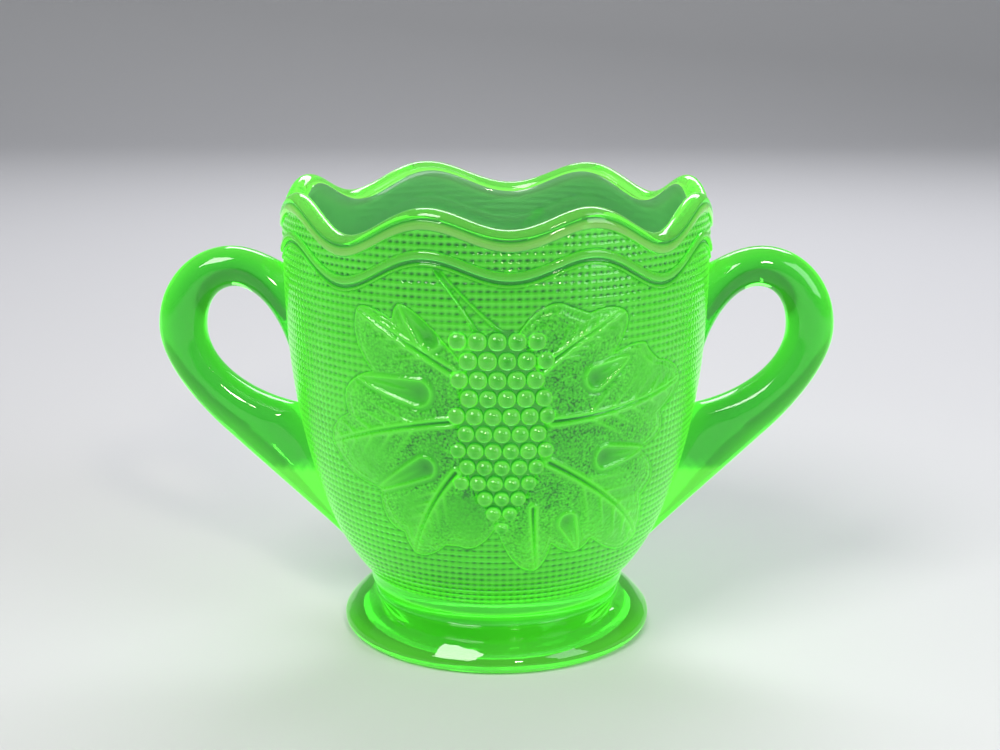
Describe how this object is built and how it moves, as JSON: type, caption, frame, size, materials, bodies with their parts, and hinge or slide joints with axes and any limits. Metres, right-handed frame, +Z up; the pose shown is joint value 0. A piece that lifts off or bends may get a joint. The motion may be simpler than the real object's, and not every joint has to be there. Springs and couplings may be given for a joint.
{
  "type": "footed two-handled sugar bowl",
  "caption": "Footed pressed-glass sugar bowl with a scalloped rim, wavy ribbon, two ear handles and grapes on a vine leaf in relief.",
  "frame": {"origin": "centre of the foot's resting ring, on the surface the bowl stands on", "axes": "+Z up along the bowl's axis; +X through the right handle; -Y through the front motif"},
  "size_m": [0.15, 0.0966, 0.1008],
  "materials": {
    "linen_glass": "uranium glass, moulded linen grid of small beads, glowing green",
    "polished_glass": "uranium glass, fire-polished smooth, glowing green",
    "leaf_glass": "uranium glass, finely stippled with polished veins, glowing green",
    "grape_glass": "uranium glass, polished round beads, glowing green"
  },
  "bodies": {
    "root": {"bowl": "linen_glass", "rim": "polished_glass", "ribbon": "polished_glass", "foot": "polished_glass", "handle_left": "polished_glass", "handle_right": "polished_glass", "grapes_front": "grape_glass", "grapes_back": "grape_glass", "leaf_front": "leaf_glass", "leaf_back": "leaf_glass", "stem_front": "polished_glass", "stem_back": "polished_glass"}
  },
  "joints": []
}
